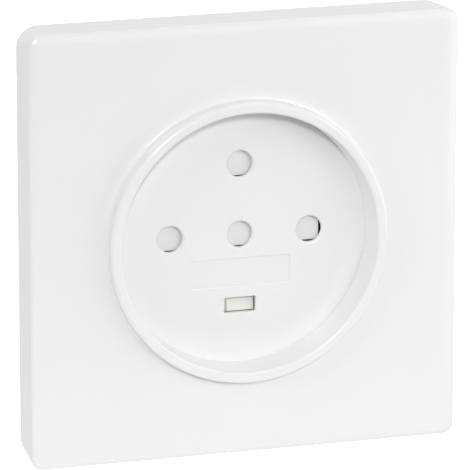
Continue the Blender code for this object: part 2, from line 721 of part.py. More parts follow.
def make_shutter_spring():
    """A helix along X between the stop on the retainer and the slide's web."""
    curve = bpy.data.curves.new("shutter_spring", "CURVE")
    curve.dimensions = "3D"
    curve.bevel_depth = SPRING_WIRE / 2
    curve.bevel_resolution = 2
    curve.use_fill_caps = True
    spline = curve.splines.new("POLY")
    steps = SPRING_TURNS * SPRING_STEPS
    spline.points.add(steps)
    middle = (SLIDE_BACK + SLIDE_FRONT) / 2
    end = SLIDE_WEB_LEFT - GAP - SPRING_WIRE / 2
    run = SPRING_LENGTH - SPRING_WIRE
    for step, point in enumerate(spline.points):
        angle = 2 * math.pi * SPRING_TURNS * step / steps
        y = -SPRING_DROP + SPRING_RADIUS * math.cos(angle)
        z = middle + SPRING_RADIUS * math.sin(angle)
        point.co = (end - run * step / steps, y, z, 1.0)
    piece("shutter_spring", curve, SPRING_STEEL)


def rail_outline(edge, side):
    """A guide rail along the slide's edge, ending in a stop on its right. side is 1 at the top."""
    inner = edge + side * GAP
    outer = inner + side * RAIL_THICKNESS
    stop_left = SLIDE_WEB_RIGHT + GAP
    stop_right = stop_left + RAIL_THICKNESS
    return [
        (-RAIL_LENGTH / 2, inner),
        (stop_left, inner),
        (stop_left, inner - side * STOP_LENGTH),
        (stop_right, inner - side * STOP_LENGTH),
        (stop_right, outer),
        (-RAIL_LENGTH / 2, outer),
    ]


def make_contact_retainer():
    hole_radius = PIN_HOLE_RADIUS + RETAINER_HOLE_MARGIN
    outlines = [circle(RETAINER_RADIUS)]
    outlines += [circle(hole_radius, BORE_STEPS, place) for place in pin_places()]
    outlines.append(
        rectangle(
            -EARTH_SLOT_WIDTH / 2 - RETAINER_HOLE_MARGIN,
            EARTH_SLOT_WIDTH / 2 + RETAINER_HOLE_MARGIN,
            -PIN_CIRCLE - EARTH_SLOT_HEIGHT / 2 - RETAINER_HOLE_MARGIN,
            -PIN_CIRCLE + EARTH_SLOT_HEIGHT / 2 + RETAINER_HOLE_MARGIN,
        )
    )
    disc = slab("contact_retainer", outlines, RETAINER_BACK, 0.0)
    retainer = piece("contact_retainer", disc, DARK_MOULDING)
    root = RETAINER_BACK / 2
    top = SLIDE_FRONT
    rails = [rail_outline(SLIDE_TOP, 1), rail_outline(SLIDE_BOTTOM, -1)]
    stop_face = SLIDE_WEB_LEFT - GAP - SPRING_LENGTH - GAP
    spring_stop = rectangle(
        stop_face - SPRING_STOP_THICKNESS,
        stop_face,
        -SPRING_DROP - SPRING_STOP_WIDTH / 2,
        -SPRING_DROP + SPRING_STOP_WIDTH / 2,
    )
    join(retainer, tool("slide_guides", slab("slide_guides", [*rails, spring_stop], root, top)))


def make_contact_base():
    edge = BASE_RADIUS - BASE_TAPER - BASE_ROUNDING
    points = [(0.0, BASE_FRONT), (COLLAR_RADIUS, BASE_FRONT)]
    points += [(COLLAR_RADIUS, BASE_FRONT - FLANGE_THICKNESS), (BASE_RADIUS, BASE_FRONT - FLANGE_THICKNESS)]
    points += arc(edge, BASE_ROUNDING - BASE_DEPTH, BASE_ROUNDING, 0, -90, 4)
    points.append((0.0, -BASE_DEPTH))
    base = piece("contact_base", profile("contact_base", points, False), DARK_MOULDING)
    lathe(base, ROUND_STEPS)
    boss_front = BASE_FRONT - 0.05 * MM
    join(base, ears("base_ears", boss_front - EAR_BOSS_DEPTH, boss_front, BASE_RADIUS - EAR_WIDTH / 4))
    recess = slab("retainer_recess", [circle(RECESS_RADIUS)], RECESS_FLOOR, GAP)
    poles = [*ROUND_POLES, EARTH_POLE]
    angles = [angle for _, angle, _ in poles]
    above = RECESS_FLOOR + GAP
    bore = slab("contact_bore", [circle(BORE_RADIUS, BORE_STEPS)], BORE_FLOOR, above)
    bores = [
        Matrix.Rotation(math.radians(angle), 4, "Z") @ Matrix.Translation((radius, 0.0, 0.0))
        for _, angle, radius in poles
    ]
    half_width = CLAMP_WIDTH / 2 + GAP
    near, far = CLAMP_RADIUS - CLAMP_DEPTH / 2 - GAP, CLAMP_RADIUS + CLAMP_DEPTH / 2 + GAP
    pocket = box("clamp_pocket", near, far, -half_width, half_width, CLAMP_BACK - GAP, above)
    slot_half = TAIL_WIDTH / 2 + GAP
    slot_floor = TAIL_TOP - TAIL_THICKNESS - GAP
    short_slot = box("tail_slot", PIN_CIRCLE, CLAMP_RADIUS, -slot_half, slot_half, slot_floor, above)
    long_slot = box("long_slot", 0.0, CLAMP_RADIUS, -slot_half, slot_half, slot_floor, above)
    window_half = WIRE_WINDOW_WIDTH / 2
    window_top = -WIRE_WINDOW_DROP
    window = box(
        "wire_window",
        CLAMP_RADIUS,
        max(BASE_RADIUS, COLLAR_RADIUS) + GAP,
        -window_half,
        window_half,
        window_top - WIRE_WINDOW_HEIGHT,
        window_top,
    )
    well_radius = CLAMP_HEAD_RADIUS + GAP
    well_outline = circle(well_radius, SMALL_STEPS, (CLAMP_RADIUS, 0.0))
    well = slab("screw_well", [well_outline], -BASE_DEPTH - GAP, CLAMP_BACK)
    outer_angles = [angle for _, angle, radius in poles if radius > 0]
    inner_angles = [angle for _, angle, radius in poles if radius == 0]
    cut(
        base,
        tool("retainer_recess", recess),
        tool("contact_bores", copies("contact_bores", bore, bores)),
        tool("clamp_pockets", copies("clamp_pockets", pocket, turned(angles))),
        tool("tail_slots", copies("tail_slots", short_slot, turned(outer_angles))),
        tool("long_slots", copies("long_slots", long_slot, turned(inner_angles))),
        tool("wire_windows", copies("wire_windows", window, turned(angles))),
        tool("screw_wells", copies("screw_wells", well, turned(angles))),
        ear_bores("base_ear_bores", EAR_SCREW_RADIUS + GAP, -BASE_DEPTH, GAP),
    )


def tail(name, start, pole):
    """The flat tail of a contact, from the sleeve or fork into the clamp."""
    half = TAIL_WIDTH / 2
    strip = box(name, start, TAIL_END, -half, half, TAIL_TOP - TAIL_THICKNESS, TAIL_TOP)
    return tool(name, strip, pole)


def make_sleeve_contact(name, pole, place):
    bottom = SLEEVE_TOP - SLEEVE_LENGTH
    points = [
        (SLEEVE_RADIUS, SLEEVE_TOP),
        (SLEEVE_RADIUS, bottom),
        (SLEEVE_BORE, bottom),
        (SLEEVE_BORE, SLEEVE_TOP - SLEEVE_LEAD_IN),
        (SLEEVE_BORE + SLEEVE_LEAD_IN, SLEEVE_TOP),
    ]
    contact = piece(f"contact_{name}", profile(f"contact_{name}", points, True), BRASS, pole)
    contact.location = (place, 0.0, 0.0)
    lathe(contact, BORE_STEPS)
    join(contact, tail(f"tail_{name}", place + SLEEVE_BORE + SLEEVE_WALL / 3, pole))
    half_slit = SLIT_WIDTH / 2
    reach = SLEEVE_RADIUS + GAP
    slit_floor = SLEEVE_TOP - SLIT_LENGTH
    slit = box("slit", -reach, reach, -half_slit, half_slit, slit_floor, SLEEVE_TOP + GAP)
    slit.transform(Matrix.Rotation(math.radians(90), 4, "Z"))
    slits = tool(f"slit_{name}", slit, pole)
    slits.location = (place, 0.0, 0.0)
    cut(contact, slits)
    inner = SLEEVE_RADIUS + GAP
    outer = inner + GRIP_THICKNESS
    opening = math.degrees(GRIP_OPENING / inner)
    ring = arc(0.0, 0.0, outer, opening / 2, 360 - opening / 2, BORE_STEPS)
    ring += arc(0.0, 0.0, inner, 360 - opening / 2, opening / 2, BORE_STEPS)
    band = slab(f"grip_ring_{name}", [ring], GRIP_TOP - GRIP_HEIGHT, GRIP_TOP)
    grip = piece(f"grip_ring_{name}", band, SPRING_STEEL, pole)
    grip.location = (place, 0.0, 0.0)


def make_fork_contact(name, pole, place):
    """A hairpin of strip brass whose two leaves pinch the flat earth pin."""
    bottom = SLEEVE_TOP - SLEEVE_LENGTH + FORK_THICKNESS / 2
    bend = FORK_PINCH + FORK_THICKNESS
    pinch_height = GRIP_TOP - GRIP_HEIGHT / 2
    mouth = FORK_MOUTH + FORK_THICKNESS / 2
    leaf = FORK_PINCH + FORK_THICKNESS / 2
    left = [(-mouth, SLEEVE_TOP), (-leaf, pinch_height), (-bend, bottom + bend)]
    right = [(-x, z) for x, z in reversed(left)]
    path = left[:2] + arc(0.0, bottom + bend, bend, 180, 360, 2 * CORNER_STEPS) + right[1:]
    hairpin = side_slab(
        f"contact_{name}", [ribbon(path, FORK_THICKNESS)], -FORK_WIDTH / 2, FORK_WIDTH / 2
    )
    contact = piece(f"contact_{name}", hairpin, BRASS, pole)
    contact.location = (place, 0.0, 0.0)
    join(contact, tail(f"tail_{name}", place + leaf, pole))
    half_inner_x = FORK_PINCH + FORK_THICKNESS + GAP
    half_inner_y = FORK_WIDTH / 2 + GAP
    width, height = 2 * (half_inner_x + GRIP_THICKNESS), 2 * (half_inner_y + GRIP_THICKNESS)
    outlines = [
        rounded_rectangle(width, height, GRIP_THICKNESS, steps=2),
        rectangle(-half_inner_x, half_inner_x, -half_inner_y, half_inner_y),
    ]
    band = slab(f"grip_ring_{name}", outlines, GRIP_TOP - GRIP_HEIGHT, GRIP_TOP)
    grip = piece(f"grip_ring_{name}", band, SPRING_STEEL, pole)
    grip.location = (place, 0.0, 0.0)


def make_clamp(name, pole):
    """A brass cage open along the wire, with its screw through the sole."""
    half_width = CLAMP_WIDTH / 2
    hole_half = TAIL_WIDTH / 2 + GAP
    outlines = [
        rectangle(-half_width, half_width, CLAMP_BACK, CLAMP_TOP),
        rectangle(-hole_half, hole_half, CLAMP_BACK + CLAMP_SOLE, CLAMP_TOP - CLAMP_ROOF),
    ]
    cage = side_slab(f"clamp_{name}", outlines, -CLAMP_DEPTH / 2, CLAMP_DEPTH / 2)
    cage.transform(Matrix.Rotation(math.radians(90), 4, "Z"))
    clamp = piece(f"clamp_{name}", cage, BRASS, pole)
    clamp.location = (CLAMP_RADIUS, 0.0, 0.0)
    bevelled(clamp, CLAMP_EDGE, 1)
    thread = circle(CLAMP_SCREW_RADIUS + GAP, SMALL_STEPS)
    bore = slab(f"clamp_bore_{name}", [thread], CLAMP_BACK - GAP, CLAMP_BACK + CLAMP_SOLE + GAP)
    hole = tool(f"clamp_bore_{name}", bore, pole)
    hole.location = (CLAMP_RADIUS, 0.0, 0.0)
    cut(clamp, hole)


def make_screw(name, parent, radius, length, head_radius, head_height, look):
    """A cheese-head screw with its head's top at Z = 0 and its shank pointing along -Z."""
    points = [(0.0, 0.0)]
    points += arc(head_radius - HEAD_ROUNDING, -HEAD_ROUNDING, HEAD_ROUNDING, 90, 0, 3)
    tip = -head_height - length
    points += [(head_radius, -head_height), (radius, -head_height), (radius, tip + radius / 2)]
    points += [(radius / 2, tip), (0.0, tip)]
    screw = piece(name, profile(name, points, False), look, parent)
    lathe(screw, SMALL_STEPS)
    half = HEAD_SLOT_WIDTH / 2
    reach = head_radius + GAP
    slot = tool(f"slot_{name}", box("slot", -reach, reach, -half, half, -HEAD_SLOT_DEPTH, GAP), screw)
    cut(screw, slot)
    return screw


def make_clamp_screw(name, pole):
    """The clamp's screw enters from behind, so its head looks away from the wall's front."""
    size = (CLAMP_SCREW_RADIUS, CLAMP_SCREW_LENGTH, CLAMP_HEAD_RADIUS, CLAMP_HEAD_HEIGHT)
    screw = make_screw(f"clamp_screw_{name}", pole, *size, ZINCED_STEEL)
    screw.rotation_euler = (math.radians(180), 0.0, 0.0)
    tip = CLAMP_BACK + CLAMP_SOLE + CLAMP_SCREW_BITE
    screw.location = (CLAMP_RADIUS, 0.0, tip - CLAMP_SCREW_LENGTH - CLAMP_HEAD_HEIGHT)


def make_pole(name, angle, radius, make_contact):
    pole = empty(f"pole_{name}", wall_datum, angle)
    make_contact(name, pole, radius)
    make_clamp(name, pole)
    make_clamp_screw(name, pole)


def make_assembly_screws():
    """Two screws from the front, through the cover's ears and the frame into the base's bosses."""
    size = (EAR_SCREW_RADIUS, EAR_SCREW_LENGTH, EAR_HEAD_RADIUS, EAR_HEAD_HEIGHT)
    for number, angle in enumerate(EAR_ANGLES, 1):
        turn = math.radians(angle)
        screw = make_screw(f"assembly_screw_{number}", wall_datum, *size, ZINCED_STEEL)
        top = COVER_FOOT + EAR_THICKNESS + GAP + EAR_HEAD_HEIGHT
        screw.location = (EAR_RADIUS * math.cos(turn), EAR_RADIUS * math.sin(turn), top)


make_front_plate()
make_well_cover()
make_shutter_slide()
make_earth_shutter()
make_shutter_spring()
make_contact_retainer()
make_support_frame()
make_contact_base()
for pole_name, pole_angle, pin_radius in ROUND_POLES:
    make_pole(pole_name, pole_angle, pin_radius, make_sleeve_contact)
make_pole(*EARTH_POLE, make_fork_contact)
make_assembly_screws()
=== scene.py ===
"""A white three-phase wall socket, photographed from its upper left on a white ground."""

import math

import bmesh
import bpy
import numpy as np
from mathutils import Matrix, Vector
from mathutils.geometry import tessellate_polygon


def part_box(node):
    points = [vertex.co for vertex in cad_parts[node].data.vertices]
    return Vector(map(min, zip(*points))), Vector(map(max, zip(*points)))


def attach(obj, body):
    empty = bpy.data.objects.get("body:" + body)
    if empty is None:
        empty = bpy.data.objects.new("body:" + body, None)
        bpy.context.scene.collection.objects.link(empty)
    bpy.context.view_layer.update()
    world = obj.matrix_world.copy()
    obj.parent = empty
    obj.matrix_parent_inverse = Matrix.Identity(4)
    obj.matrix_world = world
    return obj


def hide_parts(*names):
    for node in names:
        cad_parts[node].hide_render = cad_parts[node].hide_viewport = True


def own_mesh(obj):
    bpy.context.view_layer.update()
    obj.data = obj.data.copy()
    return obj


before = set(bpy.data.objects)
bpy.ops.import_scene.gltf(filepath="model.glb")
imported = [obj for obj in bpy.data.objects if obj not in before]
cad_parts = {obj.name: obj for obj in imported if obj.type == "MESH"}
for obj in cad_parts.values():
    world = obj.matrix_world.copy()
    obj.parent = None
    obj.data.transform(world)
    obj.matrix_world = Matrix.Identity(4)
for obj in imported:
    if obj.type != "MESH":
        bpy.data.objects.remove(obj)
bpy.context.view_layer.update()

MM = 0.001
scene = bpy.context.scene

# Camera: a long lens looks at the socket from the left and slightly from above, and aims at a point
# on the wall's surface just beside and below the plate's middle. Its angles are in degrees.
plate_low, plate_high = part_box("front_plate")
wall_y = plate_high.y
CAMERA_LEFT = 16.96
CAMERA_ABOVE = 15.03
CAMERA_DISTANCE = 900.0 * MM
AIM_RIGHT = 0.57 * MM
AIM_UP = -1.39 * MM
SENSOR_WIDTH = 36.0
FOCAL_LENGTH = 10.561 * SENSOR_WIDTH
NEAREST_SEEN = 0.05
FARTHEST_SEEN = 20.0


def direction_from(left, above):
    """The unit vector that points so many degrees to the left of the plate's axis and above it."""
    left, above = math.radians(left), math.radians(above)
    across, forwards = -math.sin(left) * math.cos(above), -math.cos(left) * math.cos(above)
    return Vector((across, forwards, math.sin(above)))


camera_data = bpy.data.cameras.new("camera")
camera_data.sensor_width = SENSOR_WIDTH
camera_data.lens = FOCAL_LENGTH
camera_data.clip_start = NEAREST_SEEN
camera_data.clip_end = FARTHEST_SEEN
camera = bpy.data.objects.new("camera", camera_data)
scene.collection.objects.link(camera)
scene.camera = camera
backwards = direction_from(CAMERA_LEFT, CAMERA_ABOVE)
camera.location = Vector((AIM_RIGHT, wall_y, AIM_UP)) + backwards * CAMERA_DISTANCE
camera.rotation_euler = (-backwards).to_track_quat("-Z", "Y").to_euler()

# Studio: a white surround that glows behind the socket, above it and to its lower right, a main lamp
# above the camera in two halves, which draws the shadow of the collar's edge in the well, four broad
# lamps that nothing mirrors, and four panels at the sides and below.

# Each glow has its direction, the power that narrows it, and its strength.
GLOWS = (
    ((0, 1, 0), 1.0, 1.02),
    ((1, 0, -1), 3.0, 0.74),
    ((0, 0, 1), 3.0, 0.64),
)
# Each front lamp has its degrees to the left and above, its width in degrees, and its strength.
FRONT_LAMPS = (
    (14.0, 20.0, 2.0, 0.59),
    (14.0, 23.0, 2.0, 0.42),
    (-25.0, 20.0, 20.0, 0.29),
    (-15.0, 15.0, 20.0, 0.32),
    (40.0, 35.0, 30.0, 0.22),
    (65.0, 30.0, 30.0, 0.59),
)
# Only a front lamp narrower than this shows in glossy surfaces.
WIDEST_MIRRORED = 10.0
# Each panel has its degrees to the left and above, its distance and size in mm, and its strength.
PANELS = (
    (-60.0, 10.0, 350.0, 300.0, 0.50),
    (85.0, -20.0, 350.0, 300.0, 0.19),
    (45.0, -30.0, 350.0, 300.0, 0.21),
    (0.0, -70.0, 200.0, 200.0, 0.11),
)
scene.view_settings.view_transform = "Standard"
scene.view_settings.look = "None"


def place_lamp(name, kind, left, above, distance, mirrored):
    """A lamp that shines at the plate's middle, from so many degrees to the left and above. Glossy
    surfaces show it only if it is mirrored."""
    towards = direction_from(left, above)
    light = bpy.data.lights.new(name, kind)
    lamp = bpy.data.objects.new(name, light)
    scene.collection.objects.link(lamp)
    lamp.location = towards * distance
    lamp.rotation_euler = towards.to_track_quat("Z", "Y").to_euler()
    lamp.visible_glossy = mirrored
    return light


for number, (left, above, width, strength) in enumerate(FRONT_LAMPS, 1):
    name = f"front_lamp_{number}"
    light = place_lamp(name, "SUN", left, above, 1.0, mirrored=width < WIDEST_MIRRORED)
    light.angle = math.radians(width)
    light.energy = strength
for number, (left, above, distance, size, strength) in enumerate(PANELS, 1):
    name = f"side_lamp_{number}"
    light = place_lamp(name, "AREA", left, above, distance * MM, mirrored=True)
    light.size = size * MM
    light.energy = strength

surround = bpy.data.worlds.new("surround")
surround.use_nodes = True
scene.world = surround
surround_tree = surround.node_tree


def surround_step(operation, glow, other):
    """A maths node of the surround, between a glow and a number or another glow."""
    step = surround_tree.nodes.new("ShaderNodeMath")
    step.operation = operation
    surround_tree.links.new(glow, step.inputs[0])
    if isinstance(other, float):
        step.inputs[1].default_value = other
    else:
        surround_tree.links.new(other, step.inputs[1])
    return step.outputs["Value"]


direction = surround_tree.nodes.new("ShaderNodeTexCoord")
total = None
for towards, power, strength in GLOWS:
    facing = surround_tree.nodes.new("ShaderNodeVectorMath")
    facing.operation = "DOT_PRODUCT"
    facing.inputs[1].default_value = Vector(towards).normalized()
    surround_tree.links.new(direction.outputs["Generated"], facing.inputs[0])
    glow = surround_step("MAXIMUM", facing.outputs["Value"], 0.0)
    glow = surround_step("POWER", glow, power)
    glow = surround_step("MULTIPLY", glow, strength)
    total = glow if total is None else surround_step("ADD", total, glow)
background = surround_tree.nodes["Background"]
surround_tree.links.new(total, background.inputs["Strength"])
background.inputs["Color"].default_value = (1.0, 1.0, 1.0, 1.0)

# Ground: a plain pale floor far below the socket, and a great white ball round everything as its
# backdrop. Both glow evenly for the camera and send no light to the socket.
BACKDROP_REACH = 4.0
FLOOR_LEVEL = -1.3
BALL_ROWS = 33
BALL_COLUMNS = 64
FLOOR_GREY = 0.9
FLOOR_ROUGHNESS = 0.9


def grid_mesh(name, points, closed_rows=False, closed_columns=False):
    """A mesh of quads over a grid of points, given as rows by columns by three. Each quad joins a
    point with the next one along its row and the two after them in the next row, and a closed
    direction also joins its last points to its first."""
    rows, columns = points.shape[:2]
    index = np.arange(rows * columns).reshape(rows, columns)
    if closed_rows:
        index = np.concatenate([index, index[:1]], axis=0)
    if closed_columns:
        index = np.concatenate([index, index[:, :1]], axis=1)
    corners = (index[:-1, :-1], index[:-1, 1:], index[1:, 1:], index[1:, :-1])
    faces = np.stack(corners, axis=-1).reshape(-1, 4)
    mesh = bpy.data.meshes.new(name)
    mesh.from_pydata(points.reshape(-1, 3).tolist(), [], faces.tolist())
    return mesh


floor_paint = bpy.data.materials.new("floor_paint")
floor_paint.use_nodes = True
floor_shader = floor_paint.node_tree.nodes["Principled BSDF"]
floor_shader.inputs["Base Color"].default_value = (FLOOR_GREY, FLOOR_GREY, FLOOR_GREY, 1.0)
floor_shader.inputs["Roughness"].default_value = FLOOR_ROUGHNESS
floor_shader.inputs["Emission Color"].default_value = (1.0, 1.0, 1.0, 1.0)
floor_shader.inputs["Emission Strength"].default_value = 1.0

sides = np.array([-BACKDROP_REACH, BACKDROP_REACH])
floor_corners = np.stack(np.broadcast_arrays(sides[None, :], sides[:, None], FLOOR_LEVEL), axis=-1)
floor = bpy.data.objects.new("floor", grid_mesh("floor", floor_corners))
scene.collection.objects.link(floor)
floor.data.materials.append(floor_paint)
floor.visible_diffuse = False
floor.visible_glossy = False

down = np.linspace(0.0, np.pi, BALL_ROWS)[:, None]
around = np.linspace(0.0, 2 * np.pi, BALL_COLUMNS, endpoint=False)[None, :]
ball_points = BACKDROP_REACH * np.stack(
    np.broadcast_arrays(np.sin(down) * np.cos(around), np.sin(down) * np.sin(around), np.cos(down)),
    axis=-1,
)
backdrop = bpy.data.objects.new("backdrop", grid_mesh("backdrop", ball_points, closed_columns=True))
scene.collection.objects.link(backdrop)
backdrop.data.materials.append(floor_paint)
backdrop.visible_diffuse = False
backdrop.visible_glossy = False
backdrop.visible_transmission = False
backdrop.visible_shadow = False

# Front plate: one moulding in glossy white plastic, a shallow square shell whose face rises into a
# round collar and turns down again into the wall of the well. Eight ribs stiffen it, and four legs
# with barbs snap into the steel frame.
plate_half = (plate_high.x - plate_low.x) / 2
PLATE_DEPTH = 9.0 * MM
PLATE_WALL = 2.0 * MM
EDGE_WIDTH = 2.2 * MM
EDGE_DROP = 1.0 * MM
REAR_CORNER = 3.9 * MM
EDGE_CORNER = 2.0 * MM
FACE_CORNER = 0.7 * MM
COLLAR_RADIUS = 26.0 * MM
COLLAR_TOP = wall_y - plate_low.y
COLLAR_ROUNDING = 0.75 * MM
COLLAR_FOOT = 0.45 * MM
MOUTH_RADIUS = 24.0 * MM
MOUTH_ROUNDING = 0.45 * MM
WELL_DRAFT = 0.25 * MM
FLOOR_HEIGHT = 5.0 * MM
JOINT_LINE = 0.04 * MM
ROOT_HEIGHT = 7.5 * MM
RIB_START = 25.0 * MM
RIB_OFFSET = 9.0 * MM
RIB_THICKNESS = 1.0 * MM
RIB_TIP = 5.0 * MM
LEG_INNER = 32.6 * MM
LEG_OUTER = 34.0 * MM
LEG_NEAR_END = 19.0 * MM
LEG_FAR_END = 25.0 * MM
LEG_TIP = 1.5 * MM
LEG_CHAMFER = 0.47 * MM
BARB_REACH = 34.8 * MM
BARB_FOOT = 1.9 * MM
BARB_CATCH = 3.1 * MM
BARB_FLAT = 0.3 * MM
SIDE_STEPS = 48
CORNER_STEPS = 12
EDGE_STEPS = 14
COLLAR_STEPS = 8
MOUTH_STEPS = 6
WELD_DISTANCE = 0.0005 * MM
SHARP_ANGLE = 40.0
WHITE = (0.88, 0.88, 0.88)


def on_wall(across, up, out):
    """Points from their distance to the right, up the plate and out of the wall."""
    across, up, out = np.broadcast_arrays(across, up, out)
    return np.stack([across, wall_y - out, up], axis=-1)


def square_ring(half, corner, out):
    """One turn round a square with rounded corners: even steps along each side, then a quarter
    circle round the corner's centre, and the same again turned by 90 degrees for each side."""
    along = np.linspace(-1, 1, SIDE_STEPS, endpoint=False) * (half - corner)
    bend = np.linspace(0, np.pi / 2, CORNER_STEPS, endpoint=False)
    across = np.concatenate([np.full(SIDE_STEPS, half), half - corner + corner * np.cos(bend)])
    up = np.concatenate([along, half - corner + corner * np.sin(bend)])
    turns = np.arange(4)[:, None] * np.pi / 2
    x = (across * np.cos(turns) - up * np.sin(turns)).ravel()
    y = (across * np.sin(turns) + up * np.cos(turns)).ravel()
    return on_wall(x, y, out)


def round_ring(radius, out):
    """One turn round a circle, with as many points as square_ring and its corners at 45 degrees."""
    steps = SIDE_STEPS + CORNER_STEPS
    angle = np.pi / 4 + (np.arange(4 * steps) - SIDE_STEPS - CORNER_STEPS / 2) * np.pi / 2 / steps
    return on_wall(radius * np.cos(angle), radius * np.sin(angle), out)


def on_circle(centre, radius, angle):
    """Pairs of places on a circle, at angles in radians."""
    return np.array(centre) + radius * np.stack([np.cos(angle), np.sin(angle)], axis=-1)


def arc(centre, radius, start, end, steps):
    """Pairs of distance and height on a circular arc between two angles in degrees."""
    return on_circle(centre, radius, np.radians(np.linspace(start, end, steps + 1)))


def plate_skin():
    """The plate's skin as rings, each round the plate once: up the outer side, over the edge's
    rounding, across the face, up and over the collar, down the well, and back along the inside.
    The rounding is a quarter of an ellipse, and the corner's radius falls evenly across it."""
    inside = PLATE_DEPTH - PLATE_WALL
    face = plate_half - EDGE_WIDTH
    rings = [square_ring(plate_half, REAR_CORNER, 0.0)]
    for across, up in arc((0.0, 0.0), 1.0, 0, 90, EDGE_STEPS):
        corner = FACE_CORNER + (EDGE_CORNER - FACE_CORNER) * across
        out = PLATE_DEPTH - EDGE_DROP * (1 - up)
        rings.append(square_ring(face + EDGE_WIDTH * across, corner, out))
    foot = (COLLAR_RADIUS + COLLAR_FOOT, PLATE_DEPTH + COLLAR_FOOT)
    shoulder = (COLLAR_RADIUS - COLLAR_ROUNDING, COLLAR_TOP - COLLAR_ROUNDING)
    lip = (MOUTH_RADIUS + MOUTH_ROUNDING, COLLAR_TOP - MOUTH_ROUNDING)
    turned = [
        *arc(foot, COLLAR_FOOT, 270, 180, COLLAR_STEPS),
        *arc(shoulder, COLLAR_ROUNDING, 0, 90, COLLAR_STEPS),
        *arc(lip, MOUTH_ROUNDING, 90, 180, MOUTH_STEPS),
        (MOUTH_RADIUS - WELL_DRAFT, FLOOR_HEIGHT + JOINT_LINE),
        (COLLAR_RADIUS, FLOOR_HEIGHT + JOINT_LINE),
        (COLLAR_RADIUS, inside),
    ]
    rings += [round_ring(radius, out) for radius, out in turned]
    inner, inner_corner = plate_half - PLATE_WALL, REAR_CORNER - PLATE_WALL
    rings += [square_ring(inner, inner_corner, out) for out in (inside, 0.0)]
    return grid_mesh("plate_skin", np.stack(rings), closed_rows=True, closed_columns=True)


def carried(name, outline, start, end, turns):
    """Closed solids: an outline of distances across and out, carried straight up the plate from
    start to end, and then copied by two by two matrices that turn or mirror across and up."""
    outline, turns = np.array(outline), np.array(turns, dtype=float)
    count = len(outline)
    across = np.tile(outline[:, 0], 2)
    up = np.repeat([start, end], count)
    out = np.tile(outline[:, 1], 2)
    index = np.arange(count)
    beside = np.roll(index, -1)
    sides = np.stack([index, beside, beside + count, index + count], axis=-1)
    faces = [*sides.tolist(), index.tolist(), (index + count)[::-1].tolist()]
    flat = turns @ np.stack([across, up])
    placed = on_wall(flat[:, 0], flat[:, 1], out).reshape(-1, 3)
    firsts = range(0, len(placed), 2 * count)
    copies = [[first + point for point in face] for first in firsts for face in faces]
    mesh = bpy.data.meshes.new(name)
    mesh.from_pydata(placed.tolist(), [], copies)
    return mesh


def plate_ribs():
    """Eight ribs between the well's tube and the plate's sides, in mirrored pairs."""
    start = math.sqrt(RIB_START**2 - RIB_OFFSET**2)
    side = plate_half - PLATE_WALL / 2
    outline = [(start, RIB_TIP), (side, RIB_TIP), (side, ROOT_HEIGHT), (start, ROOT_HEIGHT)]
    quarters = [((1, 0), (0, 1)), ((0, -1), (1, 0)), ((-1, 0), (0, -1)), ((0, 1), (-1, 0))]
    turns = np.concatenate([quarters, np.array(quarters) @ np.diag([1, -1])])
    low, high = RIB_OFFSET - RIB_THICKNESS / 2, RIB_OFFSET + RIB_THICKNESS / 2
    return carried("plate_ribs", outline, low, high, turns)


def snap_legs():
    """Four legs, each with a barb that points outwards near its tip."""
    outline = [
        (LEG_INNER, ROOT_HEIGHT),
        (LEG_INNER, LEG_TIP),
        (LEG_OUTER - LEG_CHAMFER, LEG_TIP),
        (LEG_OUTER, BARB_FOOT),
        (BARB_REACH, BARB_CATCH - BARB_FLAT),
        (BARB_REACH, BARB_CATCH),
        (LEG_OUTER, BARB_CATCH),
        (LEG_OUTER, ROOT_HEIGHT),
    ]
    mirrors = [np.diag([x, y]) for x in (1, -1) for y in (1, -1)]
    return carried("snap_legs", outline, LEG_NEAR_END, LEG_FAR_END, mirrors)


def closed_mesh(name, meshes):
    """One mesh from several that meet edge to edge or stand apart, with its faces turned outwards."""
    joined = bmesh.new()
    for mesh in meshes:
        joined.from_mesh(mesh)
        bpy.data.meshes.remove(mesh)
    bmesh.ops.remove_doubles(joined, verts=joined.verts, dist=WELD_DISTANCE)
    bmesh.ops.recalc_face_normals(joined, faces=joined.faces)
    result = bpy.data.meshes.new(name)
    joined.to_mesh(result)
    joined.free()
    return result


def shaded(piece):
    """Smooth shading with sharp corners, where large flat faces decide the normals."""
    piece.data.shade_smooth()
    piece.data.set_sharp_from_angle(angle=math.radians(SHARP_ANGLE))
    piece.modifiers.new("flat_first", "WEIGHTED_NORMAL").keep_sharp = True
    return piece


def make_piece(name, mesh, body, slot, material, *nodes):
    """A finished piece that rides on a body and stands for the CAD nodes of its kind."""
    piece = bpy.data.objects.new(name, mesh)
    scene.collection.objects.link(piece)
    mesh.materials.append(material)
    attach(piece, body)
    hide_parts(*nodes)
    return piece


def new_finish(name):
    """A material with its shader, and a socket that gives the place on the piece."""
    material = bpy.data.materials.new(name)
    material.use_nodes = True
    tree = material.node_tree
    place = tree.nodes.new("ShaderNodeTexCoord").outputs["Object"]
    return material, tree, tree.nodes["Principled BSDF"], place


def add_node(tree, kind, **values):
    """A shader node with some of its input sockets set."""
    node = tree.nodes.new(kind)
    for socket, value in values.items():
        node.inputs[socket.replace("_", " ")].default_value = value
    return node


def noise(tree, place, **values):
    """A noise pattern over a place."""
    pattern = add_node(tree, "ShaderNodeTexNoise", **values)
    tree.links.new(place, pattern.inputs["Vector"])
    return pattern


def shades(colour, *shares):
    """A colour once for each share, darkened or lightened by it."""
    return [tuple(channel * share for channel in colour) for share in shares]


def two_tone(tree, pattern, shader, dark, light):
    """A colour that a pattern moves between two tones."""
    tint = tree.nodes.new("ShaderNodeMixRGB")
    tint.inputs["Color1"].default_value = (*dark, 1.0)
    tint.inputs["Color2"].default_value = (*light, 1.0)
    tree.links.new(pattern.outputs["Fac"], tint.inputs["Fac"])
    tree.links.new(tint.outputs["Color"], shader.inputs["Base Color"])


